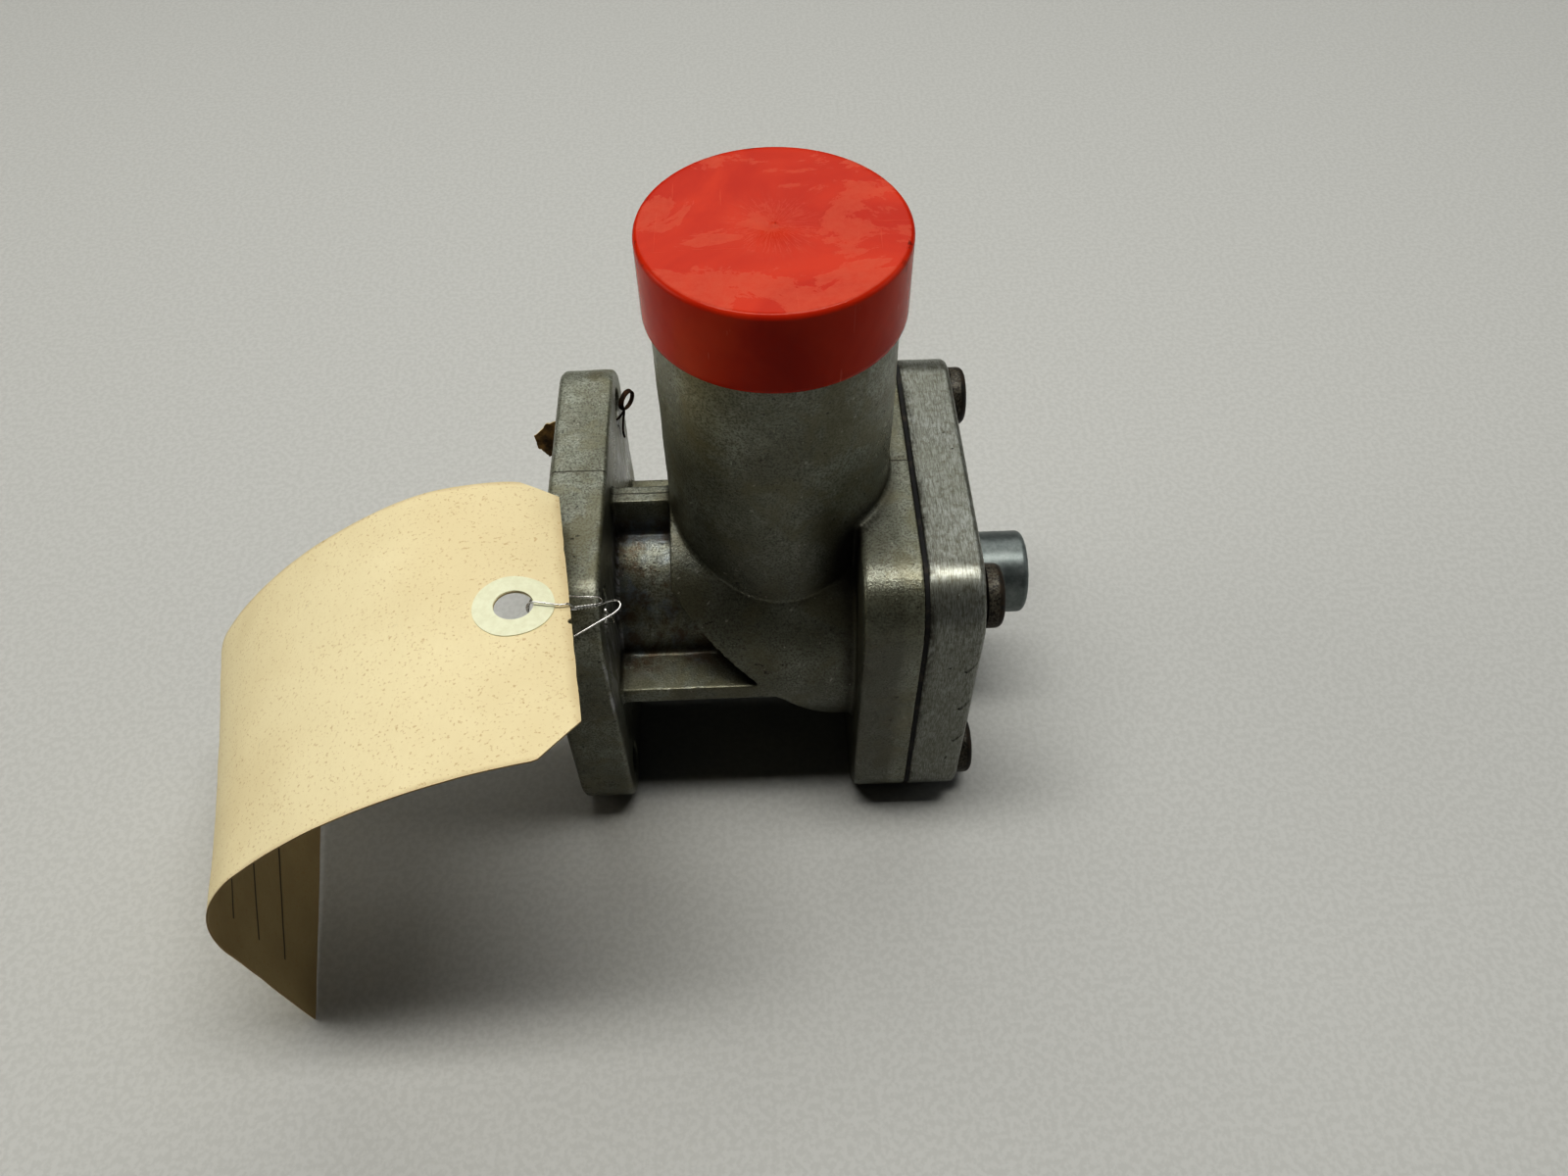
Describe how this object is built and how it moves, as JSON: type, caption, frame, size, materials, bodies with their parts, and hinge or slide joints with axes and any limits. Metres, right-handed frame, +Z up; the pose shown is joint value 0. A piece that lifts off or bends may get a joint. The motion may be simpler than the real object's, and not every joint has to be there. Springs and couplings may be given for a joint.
{
  "type": "steam trap",
  "caption": "Right-angle cast aluminium steam trap with a square flange, a bolted cover, a capped spigot inlet and a paper stock tag wired to the flange.",
  "frame": {"origin": "on the floor under the middle of the trap's own bounding box, without the tag, its wire and the old wire", "axes": "+X runs along the neck from the outlet flange to the cover, +Z up the inlet spigot, +Y to the back, away from the tag"},
  "size_m": [0.19, 0.1281, 0.1406],
  "materials": {
    "cast_body": "grimy satin casting",
    "machined_cover": "brushed, stained",
    "gasket": "matte",
    "black_screws": "blackened, a little rust",
    "turned_metal": "smooth turned",
    "stainless": "machined",
    "copper": "bright copper",
    "brass": "bright",
    "red_plastic": "glossy with hazy scuffs",
    "manila_card": "matte, specked",
    "patch_paper": "matte",
    "bright_wire": "bright drawn",
    "rusty_wire": "dark rust",
    "old_card": "torn, dirty"
  },
  "bodies": {
    "body": {"trap_body": "cast_body", "cover": "machined_cover", "cover_gasket": "gasket", "cover_screw_1": "black_screws", "cover_screw_2": "black_screws", "cover_screw_3": "black_screws", "cover_screw_4": "black_screws", "element_holder": "turned_metal", "valve_seat": "stainless", "seat_washer": "copper", "bellows": "brass", "bellows_rear_plate": "brass", "element_stud": "stainless", "lock_nut": "stainless", "strainer_screen": "stainless", "screen_ring": "stainless", "tag_wire": "bright_wire", "rusty_wire": "rusty_wire", "tag_scrap": "old_card"},
    "cap": {"protective_cap": "red_plastic"},
    "valve": {"valve_cone": "stainless", "valve_stem": "stainless", "bellows_front_plate": "brass"},
    "stock_tag": {"tag": "manila_card", "tag_patch_upper": "patch_paper", "tag_patch_lower": "patch_paper"}
  },
  "joints": [
    {"name": "cap_pull", "type": "slide", "parent": "body", "child": "cap", "axis": [0, 0, 1], "range_m": [0, 0.03]},
    {"name": "valve_travel", "type": "slide", "parent": "body", "child": "valve", "axis": [-1, 0, 0], "range_m": [0, 0.003], "stiffness_N_per_m": 2000},
    {"name": "tag_swing", "type": "hinge", "parent": "body", "child": "stock_tag", "pos_m": [-0.05155, -0.0443, 0.0915], "axis": [-0.1581, 0.9734, -0.1661], "range_deg": [0, 20]}
  ]
}
